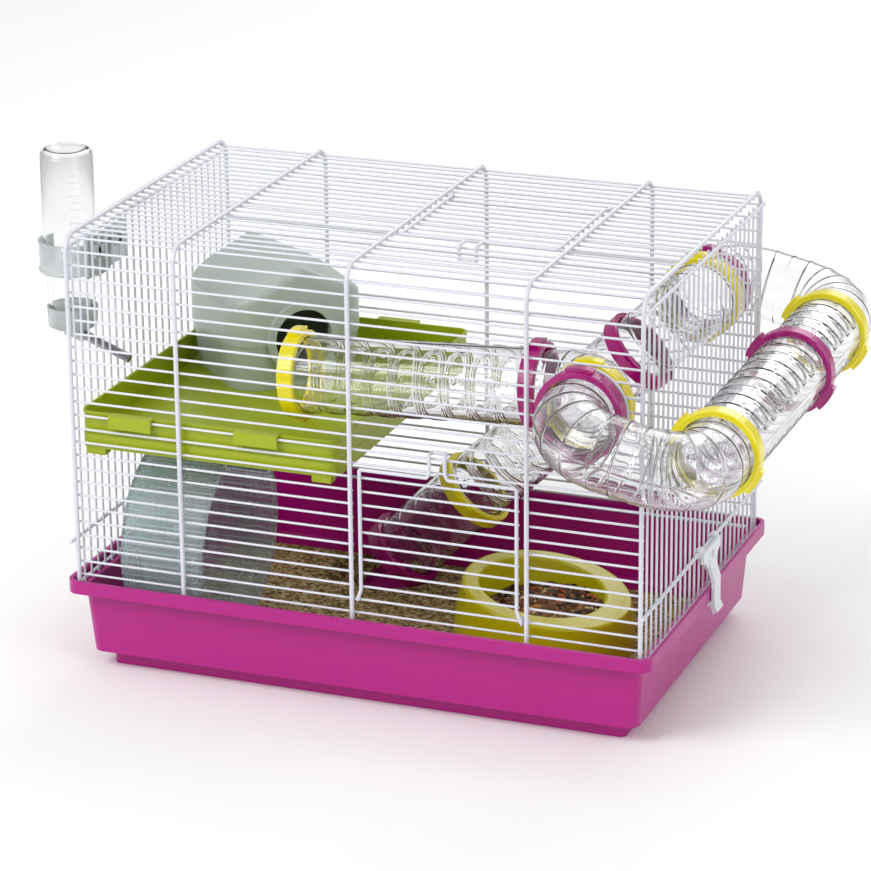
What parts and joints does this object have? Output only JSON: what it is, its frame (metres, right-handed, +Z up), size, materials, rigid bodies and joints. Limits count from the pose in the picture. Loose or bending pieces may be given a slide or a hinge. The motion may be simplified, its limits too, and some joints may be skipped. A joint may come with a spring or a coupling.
{
  "type": "hamster cage",
  "caption": "Wire hamster cage on a plastic tray, with a platform, house, wheel, bowl, water bottle and a run of clear tubes.",
  "frame": {"origin": "centre of the flat underside of the base tray", "axes": "+X along the cage to the side with the outer tubes, +Y to the back, +Z up"},
  "size_m": [0.5848, 0.4584, 0.384],
  "materials": {
    "tray": "moulded, glossy magenta",
    "bedding": "loose corn cob granules",
    "wire": "white enamel",
    "lime": "moulded lime green",
    "house": "moulded, pale sage",
    "wheel": "translucent blue grey",
    "grey": "moulded light grey",
    "clear": "clear moulded plastic",
    "yellow": "glossy yellow",
    "magenta": "glossy magenta",
    "steel": "polished steel",
    "bowl": "glossy olive yellow",
    "food": "seed and kibble mix",
    "rubber": "soft grey"
  },
  "bodies": {
    "cage": {"tray": "tray", "bedding": "bedding", "hoops": "wire", "front_wires": "wire", "back_wires": "wire", "top_wires": "wire", "left_wires": "wire", "right_wires": "wire", "frame_rails": "wire", "bail_wires": "wire", "port_hoops": "wire", "platform": "lime", "house_base": "house", "wheel_axle": "grey", "wheel_stand": "grey", "feed_tube": "clear", "front_elbow": "clear", "front_loop": "clear", "outer_long_tube": "clear", "outer_short_tube": "clear", "back_loop": "clear", "back_elbow": "clear", "drop_long_tube": "clear", "drop_short_tube": "clear", "bottle_holder": "grey"},
    "front_door": {"front_door": "wire"},
    "top_door": {"top_door": "wire"},
    "left_clip": {"left_clip": "grey"},
    "right_clip": {"right_clip": "grey"},
    "wheel": {"wheel_drum": "wheel"},
    "house_roof": {"house_top": "house"},
    "bowl": {"bowl": "bowl", "food": "food"},
    "bottle_cap": {"bottle_cap": "grey", "cap_seal": "rubber", "spout_tube": "steel"},
    "bottle": {"bottle": "clear"},
    "spout_ball": {"spout_ball": "steel"},
    "feed_end_ring": {"feed_end_ring": "yellow"},
    "feed_joint_ring": {"feed_joint_ring": "magenta"},
    "front_inner_ring": {"front_inner_ring": "yellow"},
    "front_outer_ring": {"front_outer_ring": "magenta"},
    "loop_front_ring": {"loop_front_ring": "yellow"},
    "loop_middle_ring": {"loop_middle_ring": "magenta"},
    "loop_back_ring": {"loop_back_ring": "yellow"},
    "back_outer_ring": {"back_outer_ring": "magenta"},
    "back_inner_ring": {"back_inner_ring": "yellow"},
    "drop_top_ring": {"drop_top_ring": "magenta"},
    "drop_middle_ring": {"drop_middle_ring": "yellow"},
    "drop_end_ring": {"drop_end_ring": "magenta"}
  },
  "joints": [
    {"name": "front_door_hinge", "type": "hinge", "parent": "cage", "child": "front_door", "pos_m": [0.0673, -0.1404, 0.0866], "axis": [1, 0, 0], "range_deg": [0, 110]},
    {"name": "top_door_hinge", "type": "hinge", "parent": "cage", "child": "top_door", "pos_m": [0.0673, 0.0555, 0.3371], "axis": [-1, 0, 0], "range_deg": [0, 115]},
    {"name": "left_clip_hinge", "type": "hinge", "parent": "cage", "child": "left_clip", "pos_m": [-0.2231, 0.00575, 0.1037], "axis": [0, 1, 0], "range_deg": [0, 70]},
    {"name": "right_clip_hinge", "type": "hinge", "parent": "cage", "child": "right_clip", "pos_m": [0.2231, 0.00575, 0.1037], "axis": [0, -1, 0], "range_deg": [0, 70]},
    {"name": "wheel_spin", "type": "hinge", "parent": "cage", "child": "wheel", "pos_m": [-0.1597, -0.056, 0.086], "axis": [1, 0, 0], "continuous": true},
    {"name": "house_roof_lift", "type": "slide", "parent": "cage", "child": "house_roof", "axis": [0, 0, 1], "range_m": [0, 0.025]},
    {"name": "bowl_lift", "type": "slide", "parent": "cage", "child": "bowl", "axis": [0, 0, 1], "range_m": [0, 0.03]},
    {"name": "bottle_lift", "type": "slide", "parent": "cage", "child": "bottle_cap", "axis": [0, 0, 1], "range_m": [0, 0.035]},
    {"name": "bottle_turn", "type": "hinge", "parent": "bottle_cap", "child": "bottle", "pos_m": [-0.2535, -0.069, 0.262], "axis": [0, 0, 1], "range_deg": [0, 90]},
    {"name": "spout_ball_push", "type": "slide", "parent": "bottle_cap", "child": "spout_ball", "axis": [-0.9272, 0, 0.3746], "range_m": [0, 0.0015]},
    {"name": "feed_end_ring_turn", "type": "hinge", "parent": "cage", "child": "feed_end_ring", "pos_m": [-0.05606, -0.097, 0.23872], "axis": [-0.9981, 0, -0.061], "range_deg": [0, 25]},
    {"name": "feed_joint_ring_turn", "type": "hinge", "parent": "cage", "child": "feed_joint_ring", "pos_m": [0.12859, -0.097, 0.25001], "axis": [-0.9981, 0, -0.061], "range_deg": [0, 25]},
    {"name": "front_inner_ring_turn", "type": "hinge", "parent": "cage", "child": "front_inner_ring", "pos_m": [0.1775, -0.1325, 0.253], "axis": [0, 1, 0], "range_deg": [0, 25]},
    {"name": "front_outer_ring_turn", "type": "hinge", "parent": "cage", "child": "front_outer_ring", "pos_m": [0.1775, -0.1525, 0.253], "axis": [0, 1, 0], "range_deg": [0, 25]},
    {"name": "loop_front_ring_turn", "type": "hinge", "parent": "cage", "child": "loop_front_ring", "pos_m": [0.27336, -0.141, 0.23262], "axis": [0, 1, 0], "range_deg": [0, 25]},
    {"name": "loop_middle_ring_turn", "type": "hinge", "parent": "cage", "child": "loop_middle_ring", "pos_m": [0.27336, 0.045, 0.23262], "axis": [0, 1, 0], "range_deg": [0, 25]},
    {"name": "loop_back_ring_turn", "type": "hinge", "parent": "cage", "child": "loop_back_ring", "pos_m": [0.27336, 0.141, 0.23262], "axis": [0, 1, 0], "range_deg": [0, 25]},
    {"name": "back_outer_ring_turn", "type": "hinge", "parent": "cage", "child": "back_outer_ring", "pos_m": [0.1775, 0.1525, 0.253], "axis": [0, 1, 0], "range_deg": [0, 25]},
    {"name": "back_inner_ring_turn", "type": "hinge", "parent": "cage", "child": "back_inner_ring", "pos_m": [0.1775, 0.1325, 0.253], "axis": [0, 1, 0], "range_deg": [0, 25]},
    {"name": "drop_top_ring_turn", "type": "hinge", "parent": "cage", "child": "drop_top_ring", "pos_m": [0.14225, 0.09, 0.21896], "axis": [-0.7193, 0, -0.6947], "range_deg": [0, 25]},
    {"name": "drop_middle_ring_turn", "type": "hinge", "parent": "cage", "child": "drop_middle_ring", "pos_m": [0.00846, 0.09, 0.08976], "axis": [-0.7193, 0, -0.6947], "range_deg": [0, 25]},
    {"name": "drop_end_ring_turn", "type": "hinge", "parent": "cage", "child": "drop_end_ring", "pos_m": [-0.05197, 0.09, 0.0314], "axis": [-0.7193, 0, -0.6947], "range_deg": [0, 25]}
  ]
}
